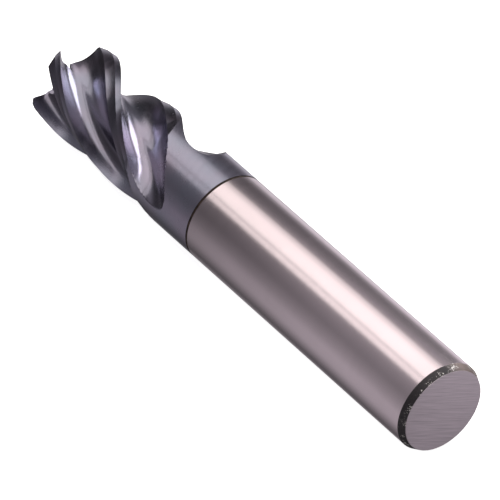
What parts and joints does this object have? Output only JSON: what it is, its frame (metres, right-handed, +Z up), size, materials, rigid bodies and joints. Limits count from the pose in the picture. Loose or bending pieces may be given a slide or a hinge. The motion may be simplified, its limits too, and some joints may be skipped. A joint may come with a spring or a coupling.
{
  "type": "end mill",
  "caption": "Square end mill: a fluted, coated cutting head with a right-hand helix, brazed to a plain ground cylindrical shank with a chamfered end.",
  "frame": {"origin": "centre of the shank's flat end face; the tool lies on its side, with its axis along X", "axes": "+X along the tool's axis, out of the shank's end face, so the cutting tip is at -X; +Z up"},
  "size_m": [0.075, 0.012, 0.012],
  "materials": {
    "ground_shank": "centreless-ground satin metal, with a rough dark skin left on the end chamfer",
    "braze": "dull, darkened silver braze filler",
    "coated_head": "ground carbide with a dark blue-grey vapour-deposited nitride coat, glossy"
  },
  "bodies": {
    "root": {"shank": "ground_shank", "braze_joint": "braze", "cutting_head": "coated_head"}
  },
  "joints": []
}
